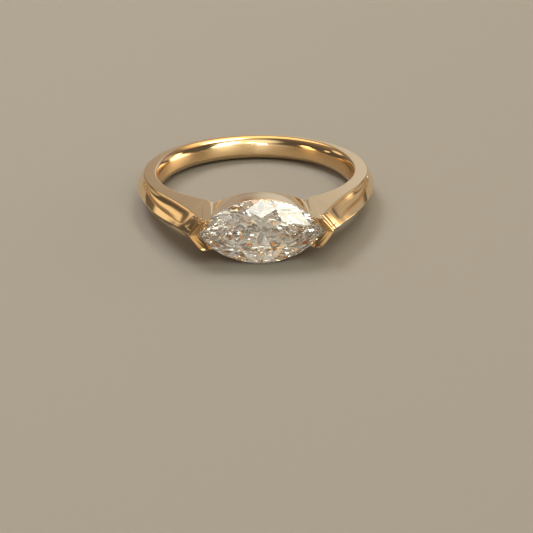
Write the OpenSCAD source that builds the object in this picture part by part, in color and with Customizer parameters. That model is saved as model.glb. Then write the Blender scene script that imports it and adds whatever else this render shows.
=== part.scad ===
// Marquise ring, set east to west between two V tips on a knife edge band.
// Lengths are in millimetres. The origin is the centre of the finger hole. The ring lies on its side
// on a level surface, with the stone toward -Y and the finger axis close to +Z.

/* [Finger] */
// Inside diameter of the band (16.5 is US size 6)
inside_d = 16.5; // [15.7:0.1:17.3]

/* [Band] */
// Width of the band at the back of the finger
back_w = 2.1; // [1.8:0.1:2.2]
// Width of the shoulders and the V tips
head_w = 2.5; // [2.4:0.05:2.6]
// Rounding of the finger hole's edges, for comfort
comfort = 0.35; // [0.25:0.05:0.45]

/* [Shoulder channels] */
// Depth of the channel cut into each bevel
channel_depth = 0.22; // [0.1:0.02:0.3]
// Width of the rail between a channel and the flat side
rail_w = 0.13; // [0.1:0.01:0.18]
// Angle from the head at which a channel starts as a point
channel_start = 80; // [74:1:84]
// Angle from the head at which a channel ends
channel_end = 32.2; // [31:0.2:34]

/* [Stone] */
// Length of the stone from tip to tip
stone_l = 10.2; // [9.8:0.1:10.4]
// Width of the stone across its belly
stone_w = 5.35; // [5.2:0.05:5.6]
// Thickness of the girdle
girdle_t = 0.14; // [0.08:0.02:0.2]
// Height of the crown over the girdle
crown_h = 0.85; // [0.7:0.05:0.95]
// Depth of the pavilion under the girdle
pavilion_h = 2.28; // [2.1:0.02:2.4]
// Share of the outline that the table covers
table_share = 0.57; // [0.52:0.01:0.62]

/* [Head] */
// Finger axis to the middle of the girdle
girdle_r = 11.6; // [11.4:0.05:11.8]
// Thickness of the V tips, outside the stone's outline
tip_wall = 0.53; // [0.45:0.01:0.6]
// Height of the V tips' corners over the middle of the girdle
tip_rise = 0.52; // [0.4:0.02:0.6]
// Rise of the V tips' top faces from the corner line to the flat sides, per mm
tip_valley = 0.16; // [0.1:0.02:0.2]
// How far the V tips reach over the stone's edge
lip = 0.12; // [0.08:0.01:0.16]
// Clearance left round the stone
stone_gap = 0.03; // [0.02:0.01:0.05]
// Girdle's middle to the top edge of the gallery
gallery_drop = 0.3; // [0.25:0.05:0.4]
// Finger axis to the top of the gallery's arch
gallery_r = 9.0; // [8.8:0.05:9.2]
// Middle of the head to where the arch springs from the finger hole
arch_reach = 4.2; // [4.0:0.1:4.5]

/* [Hidden] */

$fn = 96;
GOLD = [0.84, 0.68, 0.44];
DIAMOND = [0.90, 0.95, 1.00];

// Shapes that cut others run this far past them.
spare = 1;
// The V tips' flat sides stand this far inside the shoulders' flat sides.
tip_shy = 0.02;

bore_r = inside_d / 2;
head_half = head_w / 2;
back_half = back_w / 2;
tip_half = head_half - tip_shy;

// The marquise outline is two arcs of radius arc_r, whose centres lie arc_c either side of the middle.
stone_a = stone_l / 2;
stone_b = stone_w / 2;
arc_r = (stone_a ^ 2 + stone_b ^ 2) / (2 * stone_b);
arc_c = arc_r - stone_b;
tip_angle = asin(stone_a / arc_r);
girdle_top = girdle_r + girdle_t / 2;
girdle_bottom = girdle_r - girdle_t / 2;

// Sections of the band, from the head to the back of the finger. The flat side is as high as side over
// the finger hole, the crest stands crest over the side's arris, and the bevel between them bulges by
// swell. strip is the width of the smooth strip between the crest and a channel.
ANGLE = 0;
SIDE = 1;
CREST = 2;
SWELL = 3;
STRIP = 4;
HALF = 5;
//   angle  side  crest swell strip  half width, as a share of the way from the back's to the head's
SECTIONS = [
    [  0.0, 0.85, 0.10, 0.00, 0.25, 1.00],
    [ 12.0, 0.95, 0.10, 0.00, 0.25, 1.00],
    [ 20.0, 2.30, 0.20, 0.00, 0.25, 1.00],
    [ 24.0, 3.70, 0.30, 0.00, 0.25, 1.00],
    [ 26.0, 4.30, 0.35, 0.00, 0.25, 1.00],
    [ 28.5, 3.90, 0.52, 0.00, 0.27, 1.00],
    [ 30.0, 3.62, 0.65, 0.00, 0.30, 1.00],
    [ 36.0, 2.70, 0.95, 0.00, 0.42, 1.00],
    [ 45.0, 1.85, 1.20, 0.00, 0.52, 0.96],
    [ 53.0, 1.53, 1.10, 0.00, 0.58, 0.88],
    [ 64.0, 1.36, 0.80, 0.02, 0.70, 0.75],
    [ 76.0, 1.29, 0.66, 0.03, 0.92, 0.58],
    [ 90.0, 1.26, 0.62, 0.05, 0.95, 0.40],
    [105.0, 1.25, 0.50, 0.07, 0.85, 0.24],
    [135.0, 1.28, 0.32, 0.10, 0.75, 0.06],
    [180.0, 1.30, 0.30, 0.10, 0.72, 0.00]
];

// The shoulders' sections lean over toward the head, so that they end along the V tips. The lean
// grows between these two angles.
lean_from = 62;
lean_to = 32;
lean_fade = 22;
end_angle = 26;

// The ring lies on the back arris and on the stone's girdle.
back_arris_r = bore_r + SECTIONS[len(SECTIONS) - 1][SIDE];
lie_angle = atan2(stone_b - back_half, back_arris_r + girdle_bottom);

// Smooth step from 0 at a to 1 at b.
function ease(a, b, v) = let (t = min(max((v - a) / (b - a), 0), 1)) t * t * (3 - 2 * t);

// Cubic curve through one column of the section table.
function row_below(angle, i = 0) =
    i >= len(SECTIONS) - 2 || SECTIONS[i + 1][ANGLE] >= angle ? i : row_below(angle, i + 1);
function slope(i, col) =
    let (lo = max(i - 1, 0), hi = min(i + 1, len(SECTIONS) - 1))
    (SECTIONS[hi][col] - SECTIONS[lo][col]) / (SECTIONS[hi][ANGLE] - SECTIONS[lo][ANGLE]);
function section(angle, col) =
    let (
        i = row_below(angle),
        span = SECTIONS[i + 1][ANGLE] - SECTIONS[i][ANGLE],
        t = (angle - SECTIONS[i][ANGLE]) / span
    )
    (2 * t ^ 3 - 3 * t ^ 2 + 1) * SECTIONS[i][col]
    + (t ^ 3 - 2 * t ^ 2 + t) * span * slope(i, col)
    + (3 * t ^ 2 - 2 * t ^ 3) * SECTIONS[i + 1][col]
    + (t ^ 3 - t ^ 2) * span * slope(i + 1, col);

function half_width(angle) = back_half + (head_half - back_half) * section(angle, HALF);

// How far the V tip's outer wall draws back from its corner, at a distance z from the middle.
function tip_outer_x(z) = sqrt((arc_r + tip_wall) ^ 2 - (abs(z) + arc_c) ^ 2);
function tip_back(z) = (tip_outer_x(0) - tip_outer_x(z)) / (tip_outer_x(0) - tip_outer_x(head_half));

// The height at which the end of the shoulder's flat side meets the V tip.
meeting_r = girdle_r + 0.1;
lean_max = end_angle - atan2(tip_outer_x(head_half), meeting_r);
function lean(angle) = lean_max * ease(lean_from, lean_to, angle) * min(angle / lean_fade, 1);

// Depth of the recess in a bevel. The channel starts as a point and ends in a steep wall. Past a rail,
// an end facet falls toward the V tip.
channel_run_in = 12;
channel_run_out = 0.8;
facet_from = 30.6;
facet_to = 27.4;
facet_depth = 0.12;
function channel(angle) =
    channel_depth * ease(channel_start, channel_start - channel_run_in, angle)
    * ease(channel_end, channel_end + channel_run_out, angle);
function recess(angle) = channel(angle) + facet_depth * ease(facet_from, facet_to, angle);

// One half section, from the finger hole to the crest, as [radius, height over the middle].
COMFORT_STEPS = 4;
bore_skin = 0.1;
comfort_run = comfort + 0.05;
wall_slope = 0.06;
floor_hollow = 0.03;
function half_section(angle) =
    let (
        half = half_width(angle),
        arris = bore_r + section(angle, SIDE),
        crest = section(angle, CREST),
        long = norm([crest, half]),
        strip = section(angle, STRIP),
        depth = recess(angle),
        swell = section(angle, SWELL),
        up = [-crest, half] / long,
        out = [half, crest] / long,
        bevel = function (d, sink)
            [arris + crest, 0] + d * up + (4 * swell * d * (long - d) / long ^ 2 - sink) * out,
        rim = long - rail_w,
        mid = (rim + strip) / 2
    )
    concat(
        [for (i = [0:COMFORT_STEPS]) let (t = 90 * i / COMFORT_STEPS)
            [bore_r - bore_skin + comfort_run * (1 - cos(t)), half - comfort * (1 - sin(t))]],
        [
            bevel(long, 0),
            bevel(rim, 0),
            bevel(rim - wall_slope, depth),
            bevel(mid, depth * (1 + floor_hollow / channel_depth)),
            bevel(strip + wall_slope, depth),
            bevel(strip, 0),
            bevel(strip / 2, 0),
            bevel(0, 0)
        ]
    );

// A full section, round from the lower edge of the finger hole to the upper one.
function full_section(angle) =
    let (upper = half_section(angle), n = len(upper))
    concat([for (p = upper) [p[0], -p[1]]], [for (i = [n - 2:-1:0]) upper[i]]);

// Places a section's points round the finger axis. side is 1 for +X and -1 for -X.
function placed(angle, side) =
    [for (p = full_section(angle))
        let (a = angle - lean(angle) * tip_back(min(abs(p[1]), head_half)))
        [side * p[0] * sin(a), -p[0] * cos(a), p[1]]];

// The angles at which sections stand, on each side of the head.
STATIONS = concat(
    [4, 12, 17, 21, 24.3, 25.3, 26.4, facet_to, 28.5, 29.6, facet_from],
    [channel_end, channel_end + channel_run_out],
    [for (a = [35:2.5:57.5]) a],
    [for (a = [60:4:84]) a],
    [for (a = [90:6:174]) a]
);

module shank() {
    right = [for (a = STATIONS) placed(a, 1)];
    left = [for (i = [len(STATIONS) - 1:-1:0]) placed(STATIONS[i], -1)];
    rows = concat(right, [placed(180, 1)], left, [placed(0, 1)]);
    n = len(rows[0]);
    m = len(rows);
    points = [for (row = rows) for (p = row) p];
    faces = [for (j = [0:m - 1]) for (i = [0:n - 1])
        [j * n + i, j * n + (i + 1) % n, ((j + 1) % m) * n + (i + 1) % n, ((j + 1) % m) * n + i]];
    triangles = [for (f = faces) each [[f[0], f[1], f[2]], [f[0], f[2], f[3]]]];
    polyhedron(points, triangles, convexity = 8);
}

// Turns a shape built upward so that up is toward the head.
module toward_head() {
    rotate([90, 0, 0]) children();
}

// A marquise block between two heights, inset from the stone's outline at each end.
module marquise_block(from, from_inset, to, to_inset) {
    intersection() {
        translate([0, arc_c, from])
            cylinder(h = to - from, r1 = arc_r - from_inset, r2 = arc_r - to_inset);
        translate([0, -arc_c, from])
            cylinder(h = to - from, r1 = arc_r - from_inset, r2 = arc_r - to_inset);
    }
}

block_foot = bore_r + 1.0;
block_top = girdle_r + tip_rise + tip_half * tip_valley + spare;
block_in = 3.0;

// The two V tips, each a chevron as wide as the band, standing on the end of its shoulder.
module v_tips() {
    valley_top = block_top + spare;
    edge = girdle_r + tip_rise;
    reach = stone_a + tip_wall + spare;
    toward_head() difference() {
        intersection() {
            marquise_block(block_foot, -tip_wall, block_top, -tip_wall);
            union() for (side = [-1, 1])
                translate([side > 0 ? block_in : -reach, -tip_half, block_foot])
                    cube([reach - block_in, 2 * tip_half, block_top - block_foot]);
        }
        rotate([90, 0, 90]) translate([0, 0, -reach])
            linear_extrude(2 * reach)
                polygon([
                    [0, edge],
                    [head_w, edge + head_w * tip_valley],
                    [head_w, valley_top],
                    [-head_w, valley_top],
                    [-head_w, edge + head_w * tip_valley]
                ]);
    }
}

gallery_foot = bore_r - 0.4;
gallery_top = girdle_r - gallery_drop;
gallery_top_inset = 0.08;
gallery_foot_inset = 0.38;

// The gallery: a marquise cup that carries the stone's belly and bulges past the band's flat sides.
module gallery() {
    toward_head()
        marquise_block(gallery_foot, gallery_foot_inset, gallery_top, gallery_top_inset);
}

// The arch under the head, which leaves the gallery clear of the finger.
module arch() {
    spring_r = sqrt(bore_r ^ 2 - arch_reach ^ 2);
    rise = gallery_r - spring_r;
    radius = (arch_reach ^ 2 + rise ^ 2) / (2 * rise);
    translate([0, radius - gallery_r, 0]) cylinder(h = 2 * stone_w, r = radius, center = true);
}

seat_inset = 0.65;
hollow_inset = 1.05;
// How much the V tips' mouth widens above the lip, per mm.
mouth_slope = 0.45;

// Room for the stone, and the opening under it through which it takes light from the finger side.
module stone_room() {
    bottom = girdle_bottom - stone_gap;
    top = girdle_top + stone_gap;
    seat_foot = bottom - seat_inset - stone_gap;
    lip_top = top + lip + stone_gap;
    overlap = 0.005;
    mouth_top = block_top + spare;
    toward_head() {
        marquise_block(bore_r - spare, hollow_inset, seat_foot + overlap, seat_inset);
        marquise_block(seat_foot, seat_inset, bottom, -stone_gap);
        marquise_block(bottom - overlap, -stone_gap, top + overlap, -stone_gap);
        marquise_block(top, -stone_gap, lip_top, lip);
        marquise_block(lip_top - overlap, lip, mouth_top, lip - mouth_slope * (mouth_top - lip_top));
    }
}

notch_out = 4.12;
notch_in = 3.30;
notch_deep_x = 3.80;
notch_depth = 0.2;
notch_tip = [3.74, 11.0];
notch_foot = bore_r - 1.3;

// A tapering notch in each flat side parts the shoulder from the gallery.
module notches() {
    proud = head_half + tip_shy;
    for (side = [-1, 1]) for (face = [-1, 1])
        polyhedron(
            [
                [side * notch_out, -notch_foot, face * proud],
                [side * notch_in, -notch_foot, face * proud],
                [side * notch_deep_x, -notch_foot, face * (head_half - notch_depth)],
                [side * notch_tip[0], -notch_tip[1], face * proud]
            ],
            side * face > 0
                ? [[0, 1, 2], [0, 3, 1], [1, 3, 2], [2, 3, 0]]
                : [[2, 1, 0], [1, 3, 0], [2, 3, 1], [0, 3, 2]]
        );
}

module finger_hole() {
    cylinder(h = 2 * stone_w, r = bore_r, center = true, $fn = 180);
}

// Turns the upright ring over until it lies on its back arris and its girdle.
module lying() {
    rotate([-lie_angle, 0, 0]) children();
}

module mounting() {
    color(GOLD) lying() difference() {
        union() {
            shank();
            v_tips();
            gallery();
        }
        finger_hole();
        arch();
        stone_room();
        notches();
    }
}

// Points round the girdle: 0 and 8 are the belly's, 4 and 12 the tips.
RIM_POINTS = 16;
function rim_step(k) = k <= 4 ? k : k <= 8 ? 8 - k : k <= 12 ? k - 8 : 16 - k;
function rim_angle(k) = tip_angle * rim_step(k) / 4;
function rim_sign(k) = [k <= 8 ? 1 : -1, k < 4 || k > 12 ? 1 : -1];
function rim(k) =
    let (s = rim_sign(k), a = rim_angle(k))
    [s[0] * arc_r * sin(a), s[1] * (arc_r * cos(a) - arc_c)];
// The direction in which a main facet faces, seen from above.
function faces_to(k) =
    let (s = rim_sign(k), step = rim_step(k), a = rim_angle(k))
    step == 4 ? [s[0], 0] : step == 0 ? [0, s[1]] : [s[0] * sin(a), s[1] * cos(a)];

// Where two lines p.n1 = d1 and p.n2 = d2 cross.
function crossing(n1, d1, n2, d2) =
    let (det = n1[0] * n2[1] - n1[1] * n2[0])
    [(d1 * n2[1] - d2 * n1[1]) / det, (n1[0] * d2 - n2[0] * d1) / det];

// The crown's main facets run from the girdle to the table's corners. A corner between two of them and
// a star facet lies at star_share of the crown's height.
star_share = 0.55;
lower_share = 0.78;
function crown_line(k, height) =
    let (n = faces_to(k), run = (1 - table_share) * (rim(k) * n))
    rim(k) * n - run * height / crown_h;
function crown_corner(k) =
    let (h = star_share * crown_h, k2 = (k + 2) % RIM_POINTS)
    crossing(faces_to(k), crown_line(k, h), faces_to(k2), crown_line(k2, h));
function pavilion_corner(k) =
    let (s = 1 - lower_share, k2 = (k + 2) % RIM_POINTS)
    crossing(faces_to(k), s * (rim(k) * faces_to(k)), faces_to(k2), s * (rim(k2) * faces_to(k2)));

// A marquise brilliant: table, 8 stars, 8 crown mains, 16 upper and 16 lower girdle facets, 8 pavilion
// mains. Seen from the table, the points run clockwise.
module marquise_stone() {
    mains = [for (k = [0:2:RIM_POINTS - 2]) k];
    upper = [for (k = [0:RIM_POINTS - 1]) concat(rim(k), girdle_top)];
    lower = [for (k = [0:RIM_POINTS - 1]) concat(rim(k), girdle_bottom)];
    table = [for (k = mains) concat(table_share * rim(k), girdle_top + crown_h)];
    stars = [for (k = mains) concat(crown_corner(k), girdle_top + star_share * crown_h)];
    keels = [for (k = mains) concat(pavilion_corner(k), girdle_bottom - lower_share * pavilion_h)];
    culet = [[0, 0, girdle_bottom - pavilion_h]];
    points = concat(upper, lower, table, stars, keels, culet);
    u = 0;
    l = u + RIM_POINTS;
    t = l + RIM_POINTS;
    s = t + 8;
    q = s + 8;
    c = q + 8;
    n = RIM_POINTS;
    faces = concat(
        [[for (i = [0:7]) t + i]],
        [for (i = [0:7]) [t + i, s + i, t + (i + 1) % 8]],
        [for (i = [0:7]) [t + i, s + (i + 7) % 8, u + 2 * i, s + i]],
        [for (i = [0:7]) each [
            [s + i, u + 2 * i, u + 2 * i + 1],
            [s + i, u + 2 * i + 1, u + (2 * i + 2) % n]
        ]],
        [for (k = [0:n - 1]) [u + k, l + k, l + (k + 1) % n, u + (k + 1) % n]],
        [for (i = [0:7]) each [
            [q + i, l + 2 * i + 1, l + 2 * i],
            [q + i, l + (2 * i + 2) % n, l + 2 * i + 1]
        ]],
        [for (i = [0:7]) [c, q + i, l + 2 * i, q + (i + 7) % 8]]
    );
    color(DIAMOND) lying() toward_head() polyhedron(points, faces, convexity = 2);
}

mounting();
marquise_stone();
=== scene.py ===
# %% [markdown]
# # A marquise ring, set east to west
# A slim gold band carries one marquise diamond lengthwise across the finger. This lesson dresses the
# ring's plain solids: it makes each piece again as a fine surface, gives it its finish, and lights it.
# The solids come first, because every piece has to lie where its solid lies.

import bpy
import numpy as np
from mathutils import Matrix, Vector


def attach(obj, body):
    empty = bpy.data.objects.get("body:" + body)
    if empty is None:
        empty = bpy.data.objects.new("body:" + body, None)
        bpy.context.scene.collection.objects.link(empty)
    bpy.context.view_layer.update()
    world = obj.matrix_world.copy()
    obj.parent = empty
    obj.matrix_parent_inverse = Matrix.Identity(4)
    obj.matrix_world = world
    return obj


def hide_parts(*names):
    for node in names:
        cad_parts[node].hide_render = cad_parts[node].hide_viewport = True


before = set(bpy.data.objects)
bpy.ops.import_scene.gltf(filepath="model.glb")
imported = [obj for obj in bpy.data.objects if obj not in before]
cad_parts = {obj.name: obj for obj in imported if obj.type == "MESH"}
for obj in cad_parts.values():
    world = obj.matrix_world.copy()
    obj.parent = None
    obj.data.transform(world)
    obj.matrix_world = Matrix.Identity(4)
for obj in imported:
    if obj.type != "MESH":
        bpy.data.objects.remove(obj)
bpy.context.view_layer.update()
print("solids:", sorted(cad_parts))

# %% [markdown]
# ## The sizes
# A goldsmith works on the ring standing upright, with the finger hole's axis as the measure of
# everything. So these sizes, in millimetres, are in upright coordinates: x along the stone, y toward the
# back of the finger, z along the finger. The height w over the finger's axis is -y.

# %% Sizes in millimetres
MM = 0.001
BORE_R = 8.25
BACK_HALF = 1.05
HEAD_HALF = 1.25
TIP_HALF = 1.253
# How deeply the finger hole's wall is domed at the head and at the back, the degrees between which it
# grows from one to the other, and the narrow land beside the dome
COMFORT, BACK_COMFORT = 0.33, 0.98
DOME_FROM, DOME_TO, DOME_LAND = 95.0, 148.0, 0.02
RAIL_W = 0.13
CHANNEL_DEPTH = 0.22
CHANNEL_START, CHANNEL_END = 77.0, 32.0
# How far a channel's wall leans in, and which share of the depth it has reached at its foot
CHANNEL_LEAN, CHANNEL_FOOT = 0.05, 0.62
# The share of its width that a channel loses at its end, and the degrees that this takes on each side of it
BLUNT, BLUNT_BEFORE, BLUNT_AFTER = 0.25, 1.0, 2.2
FACET_FROM, FACET_TO, FACET_DEPTH = 30.8, 27.2, 0.06
STONE_A, STONE_B = 5.1, 2.675
GIRDLE_R, GIRDLE_T = 11.6, 0.14
CROWN_H, PAVILION_H, TABLE_SHARE = 0.85, 2.28, 0.57
STAR_SHARE, LOWER_SHARE = 0.55, 0.78
TIP_WALL, TIP_RISE, TIP_VALLEY, TIP_FOOT = 0.53, 0.52, 0.16, 9.25
TIP_ROUND, TIP_BEVEL, TIP_HOLLOW, TIP_FILE = 0.20, 0.11, 0.30, 0.0025
# How far below a notch's tip the V's inner wall bends, over which run its painted deeper colour, a painted
# reflection of the gold in itself, fades out, and how softly its two halves meet
TIP_KNEE, TIP_FADE, TIP_SOFT = 0.28, 0.12, 0.02
# Beside the flats the V tip keeps this far from the middle, from the first distance z to the second
TIP_CLEAR, CLEAR_FROM, CLEAR_TO = 4.02, 0.80, 0.96
LIP, STONE_GAP = 0.12, 0.03
GALLERY_R, GALLERY_TOP, GALLERY_FOOT, ARCH_REACH = 9.0, 11.3, 7.85, 4.2
GALLERY_TOP_INSET, GALLERY_FOOT_INSET = 0.08, 0.38
SEAT_INSET, HOLLOW_INSET, HOLLOW_FOOT = 0.65, 1.05, 7.25
NOTCH_TIP, NOTCH_LOW, NOTCH_DEEP = 11.0, 6.95, 0.24
# How deeply the arch's finger side is domed, and the x from which this grows to what the band has
ARCH_COMFORT, ARCH_FADE = 0.11, 3.2
# Toward the V tips a gallery rail's top drops by this much, from the first x to the second
TOP_DROP, DROP_FROM, DROP_TO = 1.7, 3.98, 4.3

ARC_R = (STONE_A ** 2 + STONE_B ** 2) / (2 * STONE_B)
ARC_C = ARC_R - STONE_B
GIRDLE_TOP, GIRDLE_LOW = GIRDLE_R + GIRDLE_T / 2, GIRDLE_R - GIRDLE_T / 2
SEAT_TOP = GIRDLE_LOW - STONE_GAP
SEAT_FOOT = SEAT_TOP - SEAT_INSET - STONE_GAP
LIE = np.arctan2(STONE_B - BACK_HALF, BORE_R + 1.30 + GIRDLE_LOW)
print("the marquise outline is two arcs of radius", round(ARC_R, 3), "mm")
print("the ring lies tilted by", round(float(np.degrees(LIE)), 2), "degrees")

# %% [markdown]
# ## Tools of the bench
# Every gold piece is a skin: an outline is worked out at many stations, and the outlines are joined one
# to the next. On a real ring no edge is perfectly sharp, because polishing rounds it, and the thin
# bright line along each edge is what shows that it is metal. So the outlines get their corners rounded,
# each with its own radius.

# %% The bench tools
def lay_down(points):
    """Upright millimetres to metres as the ring lies: a turn about x that brings the stone's girdle and the
    back of the band down to the floor."""
    c, s = np.cos(LIE), np.sin(LIE)
    x, y, z = points[..., 0], points[..., 1], points[..., 2]
    return np.stack([x, y * c + z * s, -y * s + z * c], -1) * MM


def ease(a, b, v):
    """A smooth step from 0 at a to 1 at b: 3t^2 - 2t^3."""
    t = np.clip((v - a) / (b - a), 0, 1)
    return t * t * (3 - 2 * t)


CORNER_STEPS = 4
# Edges that turn by more degrees than this are shaded as sharp
SHARP_FROM = 32


def rounded(corners, radii):
    """Outlines with their corners rounded. corners is (stations, corners, coordinates) of closed outlines.
    A corner becomes the parabola that touches both of its sides at its radius from the corner, or at 45% of
    the shorter side. One more point just past each end keeps the flat beside it flat when it is shaded. A
    radius of None keeps a corner as one point."""
    before = np.roll(corners, 1, axis=1) - corners
    after = np.roll(corners, -1, axis=1) - corners
    long_b = np.maximum(np.linalg.norm(before, axis=-1), 1e-9)
    long_a = np.maximum(np.linalg.norm(after, axis=-1), 1e-9)
    t = np.linspace(0, 1, CORNER_STEPS + 1)[None, :, None]
    parts = []
    for i, radius in enumerate(radii):
        corner = corners[:, i]
        if radius is None:
            parts.append(corner[:, None])
            continue
        cut = np.minimum(radius, 0.45 * np.minimum(long_b[:, i], long_a[:, i]))
        start = corner + before[:, i] * (cut / long_b[:, i])[:, None]
        end = corner + after[:, i] * (cut / long_a[:, i])[:, None]
        hold = np.minimum(1.12 * cut + 0.004, 0.49 * np.minimum(long_b[:, i], long_a[:, i]))
        parts.append((corner + before[:, i] * (hold / long_b[:, i])[:, None])[:, None])
        bend = (1 - t) ** 2 * start[:, None] + 2 * t * (1 - t) * corner[:, None] + t ** 2 * end[:, None]
        parts.append(bend)
        parts.append((corner + after[:, i] * (hold / long_a[:, i])[:, None])[:, None])
    return np.concatenate(parts, 1)


def counts(radii):
    """How many outline points each corner has become."""
    return [1 if radius is None else CORNER_STEPS + 3 for radius in radii]


def new_mesh(name, points, faces, flats=0, marks=None):
    """A mesh object from upright points and faces, with the marks that its finish reads kept as attributes.
    The last faces, as many as flats, are shaded flat and the others smooth."""
    mesh = bpy.data.meshes.new(name)
    mesh.from_pydata(lay_down(np.asarray(points)).tolist(), [], faces)
    for mark, values in (marks or {}).items():
        values = np.asarray(values, np.float32)
        kind = "FLOAT_VECTOR" if values.ndim == 2 else "FLOAT"
        attribute = mesh.attributes.new(mark, kind, "POINT")
        attribute.data.foreach_set("vector" if values.ndim == 2 else "value", values.ravel())
    mesh.set_sharp_from_angle(angle=np.radians(SHARP_FROM))
    mesh.polygons.foreach_set("use_smooth", np.arange(len(faces)) < len(faces) - flats)
    mesh.update()
    thing = bpy.data.objects.new(name, mesh)
    bpy.context.scene.collection.objects.link(thing)
    return thing


def volume_of(points, faces):
    """Six times the signed volume under the quads, each taken as two triangles from its first corner."""
    quads = [f for f in faces if len(f) == 4]
    q = points[np.array(quads)]
    a, b, c, d = q[:, 0], q[:, 1], q[:, 2], q[:, 3]
    return float(np.sum(np.cross(a, b) * c) + np.sum(np.cross(a, c) * d))


def skin(name, outlines, marks=None):
    """A closed solid from outlines (stations, points, 3): quads between neighbouring outlines and a flat
    cap on each end, turned so that the faces look outward."""
    m, n = outlines.shape[:2]
    j, i = np.meshgrid(np.arange(m - 1), np.arange(n), indexing="ij")
    k = (i + 1) % n
    quads = np.stack([j * n + i, j * n + k, (j + 1) * n + k, (j + 1) * n + i], -1).reshape(-1, 4)
    faces = quads.tolist()
    faces.append(np.arange(n)[::-1].tolist())
    faces.append((np.arange(n) + (m - 1) * n).tolist())
    points = outlines.reshape(-1, 3)
    if volume_of(points, faces) < 0:
        faces = [face[::-1] for face in faces]
    thing = new_mesh(name, points, faces, flats=2, marks=marks)
    print(f"{name}: {m} stations of {n} points, {len(faces)} faces")
    return thing


def arc_half(inset, x):
    """Half the marquise's width at x, when its outline is drawn in by inset; below zero past its tip."""
    return np.sqrt(np.maximum((ARC_R - inset) ** 2 - x ** 2, 0)) - ARC_C


def arc_reach(inset, z):
    """How far along x the outline drawn in by inset reaches, at a distance z from the middle line."""
    return np.sqrt(np.maximum((ARC_R - inset) ** 2 - (z + ARC_C) ** 2, 0))


# %% [markdown]
# ## The band
# The band is one bar of gold. Behind the finger it is a low rounded strip. Toward the head its sides grow
# tall and flat, and its outside rises to a knife edge with a bevel on each side. A tapered channel is
# scooped into each bevel, so that a thin rail is left along the flat side. The finger hole's wall is
# domed, more so behind the finger. A table of sections says how these sizes grow, and a smooth curve
# through the table gives every station between.

# %% The table of sections
#    angle  side  crest swell strip  half width's share
SECTIONS = np.array([
    [  0.0, 0.85, 0.10, 0.00, 0.25, 1.00],
    [ 12.0, 0.95, 0.10, 0.00, 0.25, 1.00],
    [ 20.0, 2.30, 0.20, 0.00, 0.25, 1.00],
    [ 24.0, 3.70, 0.30, 0.00, 0.25, 1.00],
    [ 26.0, 4.30, 0.35, 0.00, 0.25, 1.00],
    [ 28.5, 3.90, 0.52, 0.00, 0.27, 1.00],
    [ 30.0, 3.62, 0.65, 0.00, 0.30, 1.00],
    [ 36.0, 2.70, 0.95, 0.00, 0.42, 1.00],
    [ 45.0, 1.85, 1.20, 0.00, 0.52, 0.96],
    [ 53.0, 1.53, 1.10, 0.00, 0.58, 0.88],
    [ 64.0, 1.36, 0.80, 0.02, 0.70, 0.75],
    [ 76.0, 1.29, 0.66, 0.03, 0.92, 0.58],
    [ 90.0, 1.26, 0.62, 0.05, 0.95, 0.40],
    [105.0, 1.25, 0.50, 0.07, 0.85, 0.24],
    [135.0, 1.28, 0.32, 0.10, 0.75, 0.06],
    [180.0, 1.30, 0.30, 0.10, 0.72, 0.00],
])
END_ANGLE, LEAN_FROM, LEAN_TO, LEAN_FADE = 26.0, 62.0, 32.0, 22.0
# The finger hole's wall is a low dome, so that the ring slides on easily: half an ellipse, in these steps
DOME = np.linspace(0.04, 1, 16) * np.pi / 2
# A channel's floor is hollow across too, in these steps from the rail to the crest
SCOOP = np.linspace(0.06, 0.94, 12)
BAND_END_X = 4.35


def section(angle):
    """Side, crest, swell, strip and share at each angle: cubic Hermite curves through the table, whose
    slope at a row is that of the line between its neighbours."""
    grid, rows = SECTIONS[:, 0], SECTIONS[:, 1:]
    low = np.maximum(np.arange(len(grid)) - 1, 0)
    high = np.minimum(np.arange(len(grid)) + 1, len(grid) - 1)
    slope = (rows[high] - rows[low]) / (grid[high] - grid[low])[:, None]
    i = np.clip(np.searchsorted(grid, angle, side="left") - 1, 0, len(grid) - 2)
    span = (grid[i + 1] - grid[i])[:, None]
    t = ((angle - grid[i]) / (grid[i + 1] - grid[i]))[:, None]
    return ((2 * t ** 3 - 3 * t ** 2 + 1) * rows[i] + (t ** 3 - 2 * t ** 2 + t) * span * slope[i]
            + (3 * t ** 2 - 2 * t ** 3) * rows[i + 1] + (t ** 3 - t ** 2) * span * slope[i + 1]).T


def lean_back(angle, z):
    """Degrees by which a point leans toward the head, so that the shoulder's end follows the V tip's wall."""
    reach = arc_reach(-TIP_WALL, 0.0), arc_reach(-TIP_WALL, np.minimum(np.abs(z), HEAD_HALF))
    share = (reach[0] - reach[1]) / (reach[0] - arc_reach(-TIP_WALL, HEAD_HALF))
    most = END_ANGLE - np.degrees(np.arctan2(arc_reach(-TIP_WALL, HEAD_HALF), GIRDLE_R + 0.1))
    return most * ease(LEAN_FROM, LEAN_TO, angle) * np.minimum(angle / LEAN_FADE, 1) * share


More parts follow.
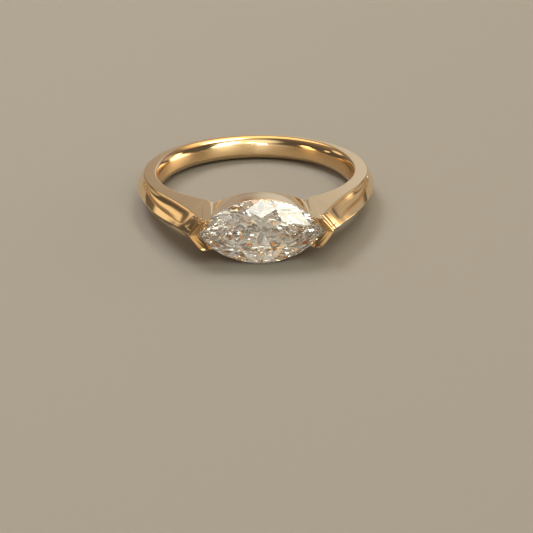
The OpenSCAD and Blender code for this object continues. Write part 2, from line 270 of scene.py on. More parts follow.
def band_outline(angle):
    """The band's whole outline at each angle, as (radius, z), with every corner rounded, and the marks of
    each outline point. It runs from the lower edge of the finger hole over the crest and back inside."""
    side, crest, swell, strip, share = section(angle)
    half = BACK_HALF + (HEAD_HALF - BACK_HALF) * share
    arris = BORE_R + side
    long = np.hypot(crest, half)
    # The channel is scooped out with a round cutter, so it is deepest in its middle and its ends curve up
    share = np.clip((angle - CHANNEL_END) / (CHANNEL_START - CHANNEL_END), 0, 1)
    scoop = CHANNEL_DEPTH * np.sqrt((1 - (1 - share) ** 12) * (1 - share ** 5))
    depth = scoop + FACET_DEPTH * ease(FACET_FROM, FACET_TO, angle)
    up = np.stack([-crest, half], -1) / long[:, None]
    out = np.stack([half, crest], -1) / long[:, None]
    top = np.stack([arris + crest, np.zeros_like(arris)], -1)

    def bevel(d, sink=0.0):
        """A point on the bevel, d away from the crest, sunk by sink. The bevel swells as a parabola."""
        rise = 4 * swell * d * (long - d) / long ** 2 - sink
        return top + d[:, None] * up + rise[:, None] * out

    soft = ease(58.0, 112.0, angle)
    # The cutter leaves the channel's end at the head blunt and round
    past = np.where(angle < CHANNEL_END, (CHANNEL_END - angle) / BLUNT_BEFORE,
                    (angle - CHANNEL_END) / BLUNT_AFTER)
    blunt = BLUNT * (1 - np.sqrt(1 - (1 - np.clip(past, 0, 1)) ** 2))
    width = long - RAIL_W - strip
    rim, strip = long - RAIL_W - blunt * width, strip + blunt * width
    depth_in = COMFORT + (BACK_COMFORT - COMFORT) * ease(DOME_FROM, DOME_TO, angle)
    # Each point comes with the radius of its corner, and the corners get rounder behind the finger
    foot = CHANNEL_FOOT * scoop + (depth - scoop)
    across = rim - strip - 2 * CHANNEL_LEAN
    upper = [(np.stack([BORE_R + depth_in * (1 - np.cos(t)), half * np.sin(t)], -1), None) for t in DOME]
    upper += [
        (np.stack([BORE_R + depth_in + DOME_LAND, half], -1), None),
        (bevel(long), 0.035 + 0.25 * soft + 0.25 * ease(110.0, 150.0, angle)),
        (bevel(rim), 0.025 + 0.1 * soft),
        (bevel(rim - CHANNEL_LEAN, foot), 0.03 + 0.1 * soft),
        *[(bevel(rim - CHANNEL_LEAN - q * across,
                 scoop * (CHANNEL_FOOT + (1 - CHANNEL_FOOT) * np.sin(np.pi * q)) + (depth - scoop)), None)
          for q in SCOOP],
        (bevel(strip + CHANNEL_LEAN, foot), 0.03 + 0.1 * soft),
        (bevel(strip), 0.03 + 0.1 * soft),
        (bevel(strip * 0.66), None),
        (bevel(strip * 0.33), None),
    ]
    ridge = (top, 0.05 + 0.3 * soft)
    flip = np.array([1.0, -1.0])
    lower = [(p * flip, r) for p, r in upper]
    chain = lower + [ridge] + upper[::-1]
    corners = np.stack([p for p, _ in chain], 1)
    radii = [r for _, r in chain]
    # 1 marks the finger hole's wall and fades out toward its domed edges, 0.5 marks the floor of a channel
    # The mark also brings in a painted reflection: brushed places are painted a deeper gold for the gold
    # mirroring itself
    side_marks = [*np.clip(6 * np.cos(DOME) - 4.6, 0, 1), 0, 0, 0, 0.3, *[0.5] * len(SCOOP), 0.3, 0, 0, 0]
    marks = side_marks + [0.0] + side_marks[::-1]
    return rounded(corners, radii), np.repeat(marks, counts(radii))


angles = np.concatenate([
    np.linspace(24.3, 36, 74)[:-1], np.linspace(36, 62, 80)[:-1],
    np.linspace(62, 92, 66)[:-1], np.linspace(92, 180, 92)])
outline, brushed = band_outline(angles)
radius, height = outline[..., 0], outline[..., 1]
turn = angles[:, None] - lean_back(angles[:, None], height)
# Inside the head the band ends on a plane, so that it doesn't reach into the notch or under the stone.
stop = np.degrees(np.arcsin(BAND_END_X / radius))
turn = np.where(turn < stop, stop + 0.02 * (turn - stop), turn)
turn = np.radians(turn)
right = np.stack([radius * np.sin(turn), -radius * np.cos(turn), height], -1)
left = right * np.array([-1.0, 1.0, 1.0])
both = np.concatenate([right, left[-2::-1]], 0)
arc_mm = np.radians(np.concatenate([angles, 360 - angles[-2::-1]]))[:, None] * BORE_R
along = np.stack([np.broadcast_to(arc_mm, both.shape[:2]), both[..., 2], both[..., 0] * 0], -1)
mask = np.broadcast_to(brushed, both.shape[:2])
band = skin("band", both, {"brushed": mask.ravel(), "along": along.reshape(-1, 3)})

# %% [markdown]
# ## The V tips
# A marquise is weakest at its points, so each point sits in a V of gold, as wide as the band. The V's
# outer walls follow the stone's outline. Its two top faces tilt toward each other like an open book, slope
# in to the stone and end in a thin lip that holds it down. They were finished by hand along the arms,
# which leaves a bright rim and faint lines. Sections at constant z suit it, as its arms run along z.

# %% The V tips
def rounding(run, radius):
    """How far a quarter circle of that radius has drawn in, a given run before its end."""
    past = np.clip(radius - run, 0, radius)
    return radius - np.sqrt(radius ** 2 - past ** 2)


def v_tip(name, side):
    """A V tip as outlines in x and w at constant z. Toward each flat side the outer wall draws in along one
    quarter circle and the top along a smaller one, so that the arm ends softly. Between its rim and the
    stone the top slopes in and is slightly hollow, with a cosine ripple of TIP_FILE from the last strokes."""
    swing = np.linspace(0, np.pi / 2, 19)
    size = np.concatenate([np.linspace(0, 0.08, 10)[:-1], np.linspace(0.08, TIP_HALF - TIP_ROUND, 30)[:-1],
                           TIP_HALF - TIP_ROUND * (1 - np.sin(swing))])
    z = np.concatenate([-size[:0:-1], size])
    size = np.abs(z)
    soft = np.sqrt(size ** 2 + TIP_SOFT ** 2) - TIP_SOFT
    top = GIRDLE_R + TIP_RISE + TIP_VALLEY * soft - rounding(TIP_HALF - size, TIP_BEVEL)
    outer = arc_reach(-TIP_WALL, soft) - rounding(TIP_HALF - size, TIP_ROUND)
    lip_top = GIRDLE_TOP + LIP + 2 * STONE_GAP
    narrowing = (HOLLOW_INSET - SEAT_INSET) / (SEAT_FOOT - HOLLOW_FOOT)
    knee = NOTCH_TIP - TIP_KNEE
    full = np.full_like(z, 1.0)
    mouth = arc_reach(LIP, soft)
    # Beside the flats the V starts past the gallery's notch, which would be filled up otherwise
    clear = TIP_CLEAR * ease(CLEAR_FROM, CLEAR_TO, size)
    strokes = []
    for share in np.linspace(0, 1, 34)[1:-1]:
        x = outer - TIP_BEVEL - share * (outer - TIP_BEVEL - mouth)
        sunk = share * (top - lip_top) * (1 - TIP_HOLLOW * (1 - share))
        strokes.append((x, top - sunk + TIP_FILE * np.cos(6 * np.pi * share), None))
    chain = [
        (outer, full * TIP_FOOT, None),
        (outer, top - 0.85 * TIP_BEVEL, 0.045),
        (outer - TIP_BEVEL, top, 0.02),
        *strokes,
        (mouth, full * lip_top, 0.01),
        (arc_reach(-STONE_GAP, soft), full * (GIRDLE_TOP + STONE_GAP), None),
        (arc_reach(-STONE_GAP, soft), full * SEAT_TOP, None),
        (arc_reach(SEAT_INSET, soft), full * SEAT_FOOT, None),
        *[(np.maximum(arc_reach(SEAT_INSET + narrowing * (SEAT_FOOT - w), soft), clear), full * w, None)
          for w in (knee, TIP_FOOT)],
    ]
    corners = np.stack([np.stack([side * x, -w, z], -1) for x, w, _ in chain], 1)
    shape = rounded(corners, [r for _, _, r in chain])
    # 1 marks the top, whose gold is painted deeper, a painted reflection of the gold in itself; it fades out
    # toward the V's ends
    marks = np.repeat([0.0, *[1.0] * (len(chain) - 6), 0, 0, 0, 0, 0], counts([r for _, _, r in chain]))
    fade = ease(TIP_HALF, TIP_HALF - TIP_FADE, size)
    return skin(name, shape, {"tip": (marks[None] * fade[:, None]).ravel(), "along": shape.reshape(-1, 3)})


v_tip_left = v_tip("v_tip_left", -1)
v_tip_right = v_tip("v_tip_right", 1)

# %% [markdown]
# ## The gallery
# Under the stone's belly the flat sides of the band swell out into a cup. An arch keeps it clear of the
# finger, and its open middle lets in light. A small tapering notch parts the cup from each shoulder, and
# the left one is wider, because both were filed by hand. The cup is made as two rails, one on each flat
# side, whose outlines run from the arch out over the cup, across the seat and back down the hollow.
# Toward the V tips the rails end lower, so that the V's own wall carries the stone there.

# %% The gallery rails
FLAT = HEAD_HALF - 0.004
CUP_BULGE, CUP_BLEND = 0.04, 0.06
# The exponents that round a notch's valley and that bend the left notch's lines
VALLEY_ROUND, LEFT_BEND = 1.6, 1.3
# Stations s along a rail: the ends of its spans, and how many stations each span has
SPANS, SPAN_STATIONS = (0.0, 2.4, 3.5, 3.75, 4.0, 4.6), (90, 46, 18, 18, 16)
# x of a notch's inner, deepest and outer line, at its tip and at its low end
NOTCH_LEFT = (3.78, 3.83, 3.88), (3.00, 3.66, 4.14)
NOTCH_RIGHT = (3.88, 3.92, 3.95), (3.50, 3.70, 4.02)
rise = GALLERY_R - np.sqrt(BORE_R ** 2 - ARCH_REACH ** 2)
ARCH_R = (ARCH_REACH ** 2 + rise ** 2) / (2 * rise)
print("the arch has a radius of", round(float(ARCH_R), 2), "mm")


def low_edge(x):
    """The height of the finger side at x: the arch, and the finger hole's circle past it."""
    arch = GALLERY_R - ARCH_R + np.sqrt(np.maximum(ARCH_R ** 2 - x ** 2, 0))
    return np.where(x < ARCH_REACH, arch, np.sqrt((BORE_R + 0.004) ** 2 - x ** 2))


def hollow(x, w):
    """Half the width of the opening under the stone, which narrows toward the finger."""
    inset = HOLLOW_INSET - (HOLLOW_INSET - SEAT_INSET) * (w - HOLLOW_FOOT) / (SEAT_FOOT - HOLLOW_FOOT)
    return np.maximum(arc_half(np.where(w > SEAT_FOOT, SEAT_INSET, inset), x), 0.0)


def gallery_rail(name, face):
    """A rail of the cup as outlines at stations s along x. Stations bend to follow the notches' lines, so
    that their creases are edges of the mesh."""
    s = np.concatenate([np.linspace(a, b, n)[:-1] for a, b, n in
                        zip(SPANS[:-1], SPANS[1:], SPAN_STATIONS)] + [SPANS[-1:]])
    s = np.concatenate([-s[:0:-1], s])
    size, left = np.abs(s), s < 0

    def notch_lines(w):
        """The inner, deepest and outer line at height w, and the share of the way down the notch."""
        t = np.clip((NOTCH_TIP - w) / (NOTCH_TIP - NOTCH_LOW), 0, 1)
        pull = np.where(left, t ** LEFT_BEND, t)
        ways = [[a + (b - a) * pull for a, b in zip(*notch)] for notch in (NOTCH_LEFT, NOTCH_RIGHT)]
        return (*[np.where(left, on_left, on_right) for on_left, on_right in zip(*ways)], t)

    def x_at(w):
        """Station s at height w: straight up near the middle, then bent along the notch's three lines."""
        inner, deep, outer, _ = notch_lines(w)
        knots = list(zip(SPANS[1:], (SPANS[1], inner, deep, outer, SPANS[-1])))
        x = size * 1.0
        for (s0, x0), (s1, x1) in zip(knots[:-1], knots[1:]):
            x = np.where(size > s0, x0 + (size - s0) / (s1 - s0) * (x1 - x0), x)
        return x

    def outside(x, w, low):
        """The cup bulges past the flat side where the stone is wider than the band, with a soft crease
        between them. The notch sinks into both as a rounded valley."""
        t = (w - GALLERY_FOOT) / (GALLERY_TOP - GALLERY_FOOT)
        v = np.clip((w - low) / (GALLERY_TOP - low), 0, 1)
        inset = GALLERY_FOOT_INSET + (GALLERY_TOP_INSET - GALLERY_FOOT_INSET) * t
        gap = arc_half(inset, x) + 4 * CUP_BULGE * v * (1 - v) - FLAT
        crease = np.where(gap > -CUP_BLEND, (gap + CUP_BLEND) ** 2 / (4 * CUP_BLEND), 0)
        z = FLAT + np.where(gap > CUP_BLEND, gap, crease)
        inner, deep, outer, t = notch_lines(w)
        near = np.where(x < deep, (x - inner) / np.maximum(deep - inner, 1e-4),
                        (outer - x) / np.maximum(outer - deep, 1e-4))
        near = np.clip(near, 0, 1)
        return z - (1 - (1 - near) ** VALLEY_ROUND) * (NOTCH_DEEP * t + (z - FLAT))

    top = GALLERY_TOP - TOP_DROP * ease(DROP_FROM, DROP_TO, size)

    def under(x):
        """How deep the finger side is domed: a little under the arch, and like the band beside it."""
        return ARCH_COMFORT + (COMFORT - ARCH_COMFORT) * ease(ARCH_FADE, ARCH_REACH, x)

    def settle(height):
        """x and w where the stations cross a height that depends on x, found by repeating."""
        x = size * 1.0
        for _ in range(12):
            x = x_at(height(x))
        return x, height(x)

    foot_x, foot_w = settle(lambda x: low_edge(x) + under(x))
    rim_z = outside(foot_x, foot_w, low_edge(foot_x))
    inner_z = np.minimum(hollow(foot_x, foot_w), rim_z - 0.1)
    first = np.arcsin(inner_z / rim_z)
    chain = []
    for share in np.linspace(0, 1, 10):
        t = first + (np.pi / 2 - first) * share
        x, w = settle(lambda x: low_edge(x) + under(x) * (1 - np.cos(t)))
        chain.append((x, w, rim_z * np.sin(t), None))

    def level(v):
        """x, w and the finger side's height where the stations cross a level between its rim and the top."""
        x, w = settle(lambda x: (low_edge(x) + under(x)) * (1 - v) + top * v)
        return x, w, low_edge(x)

    for v in 1 - (1 - np.linspace(0, 1, 24)[1:-1]) ** 1.15:
        x, w, low = level(v)
        chain.append((x, w, outside(x, w, low), None))
    x, w, low = level(1.0)
    seat = np.maximum(arc_half(SEAT_TOP - GALLERY_TOP, x), 0.0)
    foot = np.minimum(SEAT_FOOT, top - 0.1)
    chain += [(x, w, outside(x, w, low), 0.035), (x, w, np.minimum(seat, outside(x, w, low) - 0.04), None),
              (x_at(foot), foot, hollow(x_at(foot), foot), None)]
    corners = np.stack([np.stack([np.sign(s) * x, -w, face * z], -1) for x, w, z, _ in chain], 1)
    shape = rounded(corners, [r for _, _, _, r in chain])
    return skin(name, shape, {"along": shape.reshape(-1, 3)})


gallery_upper = gallery_rail("gallery_upper", 1)
gallery_lower = gallery_rail("gallery_lower", -1)

# %% [markdown]
# ## The stone
# A marquise brilliant is cut by grinding one flat after another, so it is what is left of a block once
# every flat has been cut. It is made here in the same way: each facet is a plane, every three planes meet
# in a point, and the points that no plane cuts away are the stone's corners. The girdle is a run of
# narrow upright planes, so the facets meet it in shallow scallops, as on a real stone.

# %% Cut the stone
def rim_point(k):
    """Point k of 16 round the girdle, where 0 and 8 are the belly's and 4 and 12 the tips."""
    step = k if k <= 4 else 8 - k if k <= 8 else k - 8 if k <= 12 else 16 - k
    a = np.arcsin(STONE_A / ARC_R) * step / 4
    sx, sz = (1 if k <= 8 else -1), (1 if k < 4 or k > 12 else -1)
    facing = (sx, 0.0) if step == 4 else (0.0, sz) if step == 0 else (sx * np.sin(a), sz * np.cos(a))
    return np.array([sx * ARC_R * np.sin(a), sz * (ARC_R * np.cos(a) - ARC_C)]), np.array(facing)


def crossing(n1, d1, n2, d2):
    """Where the lines p.n1 = d1 and p.n2 = d2 cross."""
    return np.linalg.solve(np.array([n1, n2]), np.array([d1, d2]))


def plane(a, b, c, inside):
    """The plane through three points, as (normal, distance), with inside on its low side."""
    n = np.cross(b - a, c - a)
    n = n / np.linalg.norm(n)
    d = n @ a
    return (n, d) if n @ inside < d else (-n, -d)


rim, facing = zip(*[rim_point(k) for k in range(16)])
middle = np.array([0.0, GIRDLE_R - 0.5, 0.0])


def at(p, w):
    """A point seen from above, at height w, as (x, w, z)."""
    return np.array([p[0], w, p[1]])


def crown_corner(k):
    """A star's outer point, between rim points k and k + 2: where the kites' lines at its height cross."""
    h, j = STAR_SHARE * CROWN_H, (k + 2) % 16
    drawn = [rim[i] @ facing[i] * (1 - (1 - TABLE_SHARE) * h / CROWN_H) for i in (k, j)]
    return at(crossing(facing[k], drawn[0], facing[j], drawn[1]), GIRDLE_TOP + h)


def keel_corner(k):
    """Where the lower girdle facets between rim points k and k + 2 end, LOWER_SHARE of the way down."""
    s, j = 1 - LOWER_SHARE, (k + 2) % 16
    return at(crossing(facing[k], s * rim[k] @ facing[k], facing[j], s * rim[j] @ facing[j]),
              GIRDLE_LOW - LOWER_SHARE * PAVILION_H)


planes = [(np.array([0.0, 1.0, 0.0]), GIRDLE_TOP + CROWN_H)]
culet = at(np.zeros(2), GIRDLE_LOW - PAVILION_H)
for k in range(0, 16, 2):
    j, before = (k + 2) % 16, (k - 2) % 16
    tables = [at(TABLE_SHARE * rim[i], GIRDLE_TOP + CROWN_H) for i in (k, j)]
    star, keel = crown_corner(k), keel_corner(k)
    planes.append(plane(tables[0], tables[1], star, middle))
    planes.append(plane(tables[0], star, at(rim[k], GIRDLE_TOP), middle))
    planes.append(plane(star, at(rim[k], GIRDLE_TOP), at(rim[k + 1], GIRDLE_TOP), middle))
    planes.append(plane(star, at(rim[k + 1], GIRDLE_TOP), at(rim[j], GIRDLE_TOP), middle))
    planes.append(plane(keel, at(rim[k], GIRDLE_LOW), at(rim[k + 1], GIRDLE_LOW), middle))
    planes.append(plane(keel, at(rim[k + 1], GIRDLE_LOW), at(rim[j], GIRDLE_LOW), middle))
    planes.append(plane(culet, keel, keel_corner(before), middle))
facets = len(planes)
GIRDLE_FLATS = 12
flat_turn = np.arcsin(STONE_A / ARC_R) / GIRDLE_FLATS
for sx in (-1, 1):
    for sz in (-1, 1):
        for a in (np.arange(GIRDLE_FLATS) + 0.5) * flat_turn:
            n = np.array([sx * np.sin(a), 0.0, sz * np.cos(a)])
            planes.append((n, ARC_R * np.cos(flat_turn / 2) - ARC_C * np.cos(a)))
normals = np.array([n for n, _ in planes])
reach = np.array([d for _, d in planes])
trio = np.array([(i, j, k) for i in range(len(planes)) for j in range(i + 1, len(planes))
                 for k in range(j + 1, len(planes)) if min(k, j) < facets or i < facets])
triple = normals[trio]
det = np.linalg.det(triple)
solid = np.abs(det) > 1e-7
corner = np.linalg.solve(triple[solid], reach[trio[solid]][..., None])[..., 0]
kept = np.all(corner @ normals.T <= reach + 1e-7, axis=1)
corner = np.unique(np.round(corner[kept], 6), axis=0)
on_plane = np.abs(corner @ normals.T - reach) < 3e-6
faces = []
for f in range(len(planes)):
    on = np.flatnonzero(on_plane[:, f])
    if len(on) < 3:
        continue
    rel = corner[on] - corner[on].mean(0)
    u = np.cross(normals[f], [0.3, 0.5, 0.81])
    u /= np.linalg.norm(u)
    order = np.argsort(np.arctan2(rel @ np.cross(normals[f], u), rel @ u))
    faces.append(on[order].tolist())
# (x, w, z) to upright (x, -w, z) is a mirror image, so the faces are turned round
upright = corner * np.array([1.0, -1.0, 1.0])
girdle = ((corner[:, 1] <= GIRDLE_TOP + 1e-4) & (corner[:, 1] >= GIRDLE_LOW - 1e-4)).astype(float)
stone = new_mesh("stone", upright, [f[::-1] for f in faces], flats=len(faces), marks={"girdle": girdle})
print("stone:", len(faces), "flats,", len(corner), "corners,",
      "length", round(float(np.ptp(corner[:, 0])), 2), "width", round(float(np.ptp(corner[:, 2])), 2), "mm")

# %% [markdown]
# ## The finishes
# The ring is 18 carat gold. Outside it is polished to a mirror, which still shows faint hairlines from
# wear. The channels' floors were only brushed, so fine lines run across them, and they mirror more
# softly. The finger hole was finely brushed with a turning pad, which leaves fine scratches round it: what
# its wall mirrors is drawn out along the finger, in faint streaks, and only its domed edges are bright. On
# the V tips, and less so on brushed places, the gold is painted a deeper colour, a painted reflection of
# the gold mirroring itself. The diamond is clear, it bends light far more than glass does, and only its
# girdle is left ground.

# %% Mix the finishes
# How far, and how softly, the finger hole draws out what it mirrors
WALL_STRETCH, WALL_ROUGH = 0.95, 0.24
# How much the deeper colour shows: as a painted reflection of the gold in itself on brushed places and on the
# V tips' tops, and as random tone in the cloudiness
BRUSHED_PAINTED_REFLECTION, TIP_PAINTED_REFLECTION, CLOUD_DEEP = 0.4, 0.85, 0.14


def nodes_of(name):
    """A new material with its node tree and its main shader."""
    made = bpy.data.materials.new(name)
    made.use_nodes = True
    tree = made.node_tree
    return made, tree, tree.nodes["Principled BSDF"]


def gold(name, colour, deep, rough):
    """Polished gold. Soft cloudiness changes the tone a little at random, hairlines in two directions catch
    the light, and the marks 'brushed' and 'tip' bring in the fine lines, the finger hole's drawn out shine
    and a deeper colour, which is a painted reflection of the gold mirroring itself."""
    made, tree, shader = nodes_of(name)
    new, link = tree.nodes.new, tree.links.new
    place = new("ShaderNodeTexCoord")

    def noise(scale, stretch, turned=(0, 0, 0), detail=2.0, source=None):
        mapping = new("ShaderNodeMapping")
        mapping.inputs["Scale"].default_value = stretch
        mapping.inputs["Rotation"].default_value = turned
        link(source or place.outputs["Object"], mapping.inputs["Vector"])
        texture = new("ShaderNodeTexNoise")
        texture.inputs["Scale"].default_value = scale
        texture.inputs["Detail"].default_value = detail
        link(mapping.outputs["Vector"], texture.inputs["Vector"])
        return texture.outputs["Fac"]

    def span(socket, low, high, to_low, to_high):
        node = new("ShaderNodeMapRange")
        for key, value in zip(("From Min", "From Max", "To Min", "To Max"), (low, high, to_low, to_high)):
            node.inputs[key].default_value = value
        link(socket, node.inputs["Value"])
        return node.outputs["Result"]

    def maths(kind, a, b):
        node = new("ShaderNodeMath")
        node.operation = kind
        for socket, value in zip(node.inputs, (a, b)):
            if isinstance(value, (int, float)):
                socket.default_value = value
            else:
                link(value, socket)
        return node.outputs[0]

    def mark(attribute, output):
        node = new("ShaderNodeAttribute")
        node.attribute_name = attribute
        return node.outputs[output]

    brushed, tip = mark("brushed", "Fac"), mark("tip", "Fac")
    cloud = noise(420, (1, 1, 1), detail=3)
    hairs = maths("MAXIMUM", span(noise(900, (1, 14, 1), (0.2, 0.4, 0.5)), 0.62, 0.75, 0, 1),
                  span(noise(1100, (16, 1, 1), (0.5, 1.1, 2.1)), 0.64, 0.76, 0, 1))
    lines = noise(1.0, (22, 0.5, 1), detail=4, source=mark("along", "Vector"))
    tone = new("ShaderNodeMix")
    tone.data_type = "RGBA"
    tone.inputs["A"].default_value = (*colour, 1)
    tone.inputs["B"].default_value = (*deep, 1)
    # Painted reflection: brushed places and the V tips' tops are painted a deeper gold for the gold mirroring
    # itself
    deeper = maths("MAXIMUM", maths("MULTIPLY", brushed, BRUSHED_PAINTED_REFLECTION), maths("MULTIPLY", tip, TIP_PAINTED_REFLECTION))
    link(maths("MAXIMUM", deeper, span(cloud, 0.3, 0.7, 0.0, CLOUD_DEEP)), tone.inputs["Factor"])
    link(tone.outputs["Result"], shader.inputs["Base Color"])
    shader.inputs["Metallic"].default_value = 1.0
    # The finger hole's wall: only there is 'brushed' more than half
    wall = span(brushed, 0.55, 1.0, 0, 1)
    round_the_hole = new("ShaderNodeTangent")
    round_the_hole.direction_type, round_the_hole.axis = "RADIAL", "Z"
    link(round_the_hole.outputs["Tangent"], shader.inputs["Tangent"])
    shader.inputs["Anisotropic Rotation"].default_value = 0.25
    link(maths("MULTIPLY", wall, WALL_STRETCH), shader.inputs["Anisotropic"])
    worn = maths("ADD", span(cloud, 0.3, 0.7, rough * 0.6, rough * 1.5), maths("MULTIPLY", hairs, 0.03))
    drawn = maths("MULTIPLY", brushed, span(lines, 0.3, 0.7, 0.05, 0.20))
    drawn = maths("ADD", drawn, maths("MULTIPLY", wall, WALL_ROUGH))
    link(maths("ADD", worn, drawn), shader.inputs["Roughness"])
    relief = maths("ADD", maths("MULTIPLY", brushed, lines), maths("MULTIPLY", hairs, 0.02))
    bump = new("ShaderNodeBump")
    bump.inputs["Strength"].default_value = 0.35
    bump.inputs["Distance"].default_value = 0.012 * MM
    link(relief, bump.inputs["Height"])
    link(bump.outputs["Normal"], shader.inputs["Normal"])
    return made


GOLD = gold("polished_gold", (0.97, 0.74, 0.46), (0.95, 0.61, 0.28), 0.05)

DIAMOND, tree, shader = nodes_of("diamond")
shader.inputs["Base Color"].default_value = (1.0, 1.0, 1.0, 1)
shader.inputs["IOR"].default_value = 2.417
shader.inputs["Transmission Weight"].default_value = 1.0
ground = tree.nodes.new("ShaderNodeAttribute")
ground.attribute_name = "girdle"
grain = tree.nodes.new("ShaderNodeTexNoise")
grain.inputs["Scale"].default_value = 6000
spread = tree.nodes.new("ShaderNodeMath")
spread.operation = "MULTIPLY"
level = tree.nodes.new("ShaderNodeMath")
level.operation = "GREATER_THAN"
level.inputs[1].default_value = 0.999
tree.links.new(ground.outputs["Fac"], level.inputs[0])
tree.links.new(level.outputs[0], spread.inputs[0])
tree.links.new(grain.outputs["Fac"], spread.inputs[1])
tree.links.new(spread.outputs[0], shader.inputs["Roughness"])

for piece, finish in ((band, GOLD), (gallery_upper, GOLD), (gallery_lower, GOLD),
                      (v_tip_left, GOLD), (v_tip_right, GOLD), (stone, DIAMOND)):
    piece.data.materials.append(finish)
    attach(piece, "root")
    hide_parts("marquise_stone" if piece is stone else "mounting")
print("finishes:", GOLD.name, "and", DIAMOND.name)

# %% [markdown]
# ## The floor and the camera
# The ring lies on a plain pale floor. The photograph was taken from in front of the stone and a little
# above, with a long lens, and the camera's place comes from the edges of the finger hole in it.

# %% The floor
floor_z = min(v.co.z for p in (band, stone, v_tip_left, v_tip_right) for v in p.data.vertices) - 0.01 * MM
floor_mesh = bpy.data.meshes.new("floor")
FLOOR_HALF = 0.6
floor_corners = [(x * FLOOR_HALF, y * FLOOR_HALF, floor_z) for x, y in ((-1, -1), (1, -1), (1, 1), (-1, 1))]
floor_mesh.from_pydata(floor_corners, [], [(0, 1, 2, 3)])
floor = bpy.data.objects.new("floor", floor_mesh)
bpy.context.scene.collection.objects.link(floor)
plain, tree, shader = nodes_of("plain_floor")
shader.inputs["Base Color"].default_value = (0.288, 0.267, 0.241, 1)
shader.inputs["Roughness"].default_value = 0.8
floor_mesh.materials.append(plain)
print("the floor lies at", round(1000 * floor_z, 2), "mm")

# %% The camera
DISTANCE, ELEVATION, AZIMUTH, ROLL = 130.0, 23.285, 2.368, 0.754
FOCAL_PX, FRAME_PX, SENSOR = 1514.07, 533.0, 36.0
SHIFT_RIGHT, SHIFT_UP = -0.857, 7.342
e, az, roll = np.radians([ELEVATION, AZIMUTH, ROLL])
ahead = np.array([0, np.cos(e), -np.sin(e)])
side = np.array([1.0, 0, 0])
up = np.array([0, np.sin(e), np.cos(e)])
eye = -ahead * DISTANCE - SHIFT_RIGHT * side - SHIFT_UP * up
side, up = side * np.cos(roll) - up * np.sin(roll), side * np.sin(roll) + up * np.cos(roll)
back_az = np.array([[np.cos(az), np.sin(az), 0], [-np.sin(az), np.cos(az), 0], [0, 0, 1]])
axes = [lay_down(back_az @ v) / MM for v in (side, up, -ahead)]
eye = lay_down(back_az @ eye)
lens = bpy.data.cameras.new("camera")
lens.sensor_width = SENSOR
lens.lens = FOCAL_PX * SENSOR / FRAME_PX
lens.clip_start, lens.clip_end = 0.005, 5.0
camera = bpy.data.objects.new("camera", lens)
camera.matrix_world = Matrix([[*(a[i] for a in axes), eye[i]] for i in range(3)] + [[0, 0, 0, 1]])
bpy.context.scene.collection.objects.link(camera)
bpy.context.scene.camera = camera
print("camera at", np.round(eye * 1000, 1), "mm, lens", round(lens.lens, 1), "mm")

# %% [markdown]
# ## The light
# A polished ring shows mostly what stands around it, so the light is a small studio: a dim warm room, a
# cool window behind, and round soft lamps. Each lamp's place was worked out backward, from a bright spot
# on the ring along the line that the gold or the stone mirrors there. One larger lamp, overhead and
# behind on the left, gives the ring its soft shadow. It is kept out of what the gold mirrors, because the
# photograph shows only the small lamps on the back's rim.

# %% The light
def toward(azimuth, elevation):
    """The direction at an azimuth (0 toward the camera, positive to the right) and elevation in degrees."""
    a, b = np.radians([azimuth, elevation])
    return np.array([np.sin(a) * np.cos(b), -np.cos(a) * np.cos(b), np.sin(b)])


world = bpy.data.worlds.new("room")
world.use_nodes = True
bpy.context.scene.world = world
sky = world.node_tree
sky_place = sky.nodes.new("ShaderNodeTexCoord").outputs["Generated"]


def add_light(before, colour, share=None):
    """The room's light with one more colour in it, everywhere or by a share that depends on direction."""
    mix = sky.nodes.new("ShaderNodeMix")
    mix.data_type, mix.blend_type = "RGBA", "ADD"
    mix.inputs["A"].default_value = (0, 0, 0, 1)
    mix.inputs["B"].default_value = (*colour, 1)
    mix.inputs["Factor"].default_value = 1.0
    if share is not None:
        sky.links.new(share, mix.inputs["Factor"])
    if before is not None:
        sky.links.new(before, mix.inputs["A"])
    return mix.outputs["Result"]


def soft_lamp(before, azimuth, elevation, core, fade, colour):
    """A round glow in the room that is full within core degrees of its middle and gone past fade degrees."""
    dot = sky.nodes.new("ShaderNodeVectorMath")
    dot.operation = "DOT_PRODUCT"
    dot.inputs[1].default_value = toward(azimuth, elevation)
    sky.links.new(sky_place, dot.inputs[0])
    step = sky.nodes.new("ShaderNodeMapRange")
    step.interpolation_type = "SMOOTHSTEP"
    step.inputs["From Min"].default_value = np.cos(np.radians(fade))
    step.inputs["From Max"].default_value = np.cos(np.radians(core))
    sky.links.new(dot.outputs["Value"], step.inputs["Value"])
    return add_light(before, colour, step.outputs["Result"])


ROOM = (0.10, 0.085, 0.07)
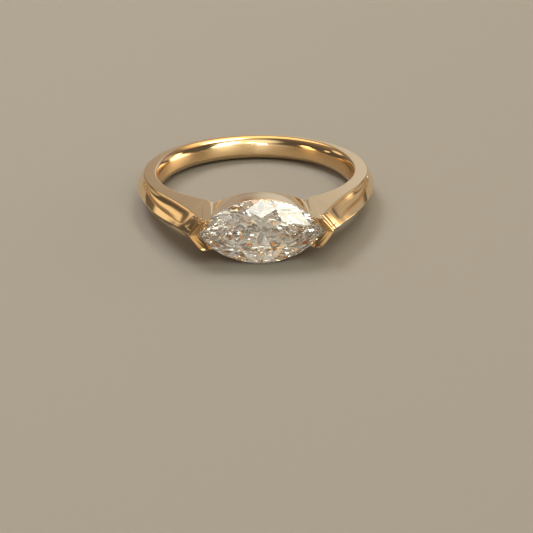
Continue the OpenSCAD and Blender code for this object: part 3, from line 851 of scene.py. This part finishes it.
#    azimuth elevation core fade colour
LAMPS = [
    # Behind: the window and the wall that the flat sides mirror, and the glow on the back's rim
    (165, 8, 4, 22, (0.38, 0.44, 0.48)),
    (-168, 3, 3, 12, (0.16, 0.17, 0.20)),
    (180, 32, 16, 60, (0.17, 0.12, 0.07)),
    (180, 46, 8, 20, (1.25, 0.90, 0.46)),
    (150, 62, 8, 24, (0.9, 0.62, 0.28)),
    # To the sides: the channels, the shoulders and the finger hole's wall
    (100, 6, 8, 24, (2.6, 2.2, 1.7)),
    (114, 15, 5, 14, (0.75, 0.52, 0.24)),
    (114, 26, 4, 8, (2.2, 1.8, 1.3)),
    (130, 18, 3, 16, (0.30, 0.28, 0.24)),
    (145, 66, 5, 12, (4.5, 4.5, 4.2)),
    (-132, 24, 4, 11, (0.80, 0.66, 0.44)),
    (-107, 24, 2, 6, (1.1, 0.85, 0.5)),
    (-78, 28, 4, 8, (3.3, 2.3, 1.05)),
    (-78, 40, 4, 8, (3.3, 2.3, 1.05)),
    # In front and above: the bright spots on the back's rim and on the stone
    (46, 44, 9, 12, (3.1, 3.15, 2.6)),
    (46, 60, 9, 12, (3.1, 3.15, 2.6)),
    (-12, 38, 2, 4, (12.0, 12.0, 12.0)),
    (-12, 46, 2, 4, (12.0, 12.0, 12.0)),
    (3, 57, 3, 6, (2.5, 2.6, 2.5)),
    (15, 66, 10, 34, (1.20, 1.14, 0.88)),
    # In front and low: the V tips, with a dim place between where the camera stands
    (5, -2, 8, 22, (0.40, 0.32, 0.21)),
    (-24, 20, 12, 30, (0.50, 0.46, 0.38)),
    (34, 20, 8, 24, (0.60, 0.50, 0.35)),
]
room_light = add_light(None, ROOM)
for lamp_row in LAMPS:
    room_light = soft_lamp(room_light, *lamp_row)
sky.links.new(room_light, sky.nodes["Background"].inputs["Color"])
print("the room has", len(LAMPS), "soft lamps")

# The larger lamp's side and distance in metres, its power in watts, and its azimuth and elevation
OVERHEAD_SIZE, OVERHEAD_FAR, OVERHEAD_POWER, OVERHEAD_PLACE = 0.20, 0.45, 1.1, (-130, 62)
overhead = bpy.data.lights.new("overhead", "AREA")
overhead.shape, overhead.size, overhead.energy = "SQUARE", OVERHEAD_SIZE, OVERHEAD_POWER
overhead_lamp = bpy.data.objects.new("overhead", overhead)
overhead_lamp.location = Vector(OVERHEAD_FAR * toward(*OVERHEAD_PLACE))
overhead_lamp.rotation_euler = (-overhead_lamp.location).to_track_quat("-Z", "Y").to_euler()
overhead_lamp.visible_glossy = False
bpy.context.scene.collection.objects.link(overhead_lamp)

# %% [markdown]
# ## How light is followed
# Light bounces many times between a diamond's facets before it leaves, so it is followed for more bounces
# than usual. The tones are shown as they are, so that the gold keeps its colour in the bright places.

# %% Bounces and tones
BOUNCES = 24
bpy.context.scene.cycles.max_bounces = BOUNCES
bpy.context.scene.cycles.glossy_bounces = BOUNCES
bpy.context.scene.cycles.transmission_bounces = BOUNCES
bpy.context.scene.view_settings.view_transform = "Standard"
print("light is followed for", BOUNCES, "bounces")
